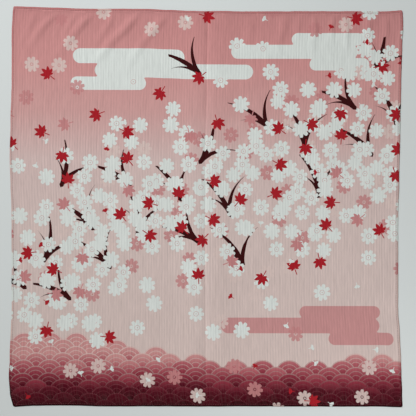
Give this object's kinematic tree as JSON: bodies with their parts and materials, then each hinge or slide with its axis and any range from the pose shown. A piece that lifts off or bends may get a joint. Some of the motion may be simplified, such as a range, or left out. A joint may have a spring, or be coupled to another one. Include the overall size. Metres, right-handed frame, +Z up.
{
  "type": "furoshiki wrapping cloth",
  "caption": "Square printed cotton wrapping cloth with narrow turned hems, spread flat with a middle fold crease and soft puckers.",
  "frame": {"origin": "middle of the cloth's outline, on the surface it lies on", "axes": "+X towards the cloth's right-hand side, +Y towards its top edge, +Z up out of its printed face"},
  "size_m": [0.5044, 0.5134, 0.0029],
  "materials": {
    "printed_cotton": "matt printed cotton crepe with fine lengthwise ribs"
  },
  "bodies": {
    "root": {"cloth": "printed_cotton"}
  },
  "joints": []
}
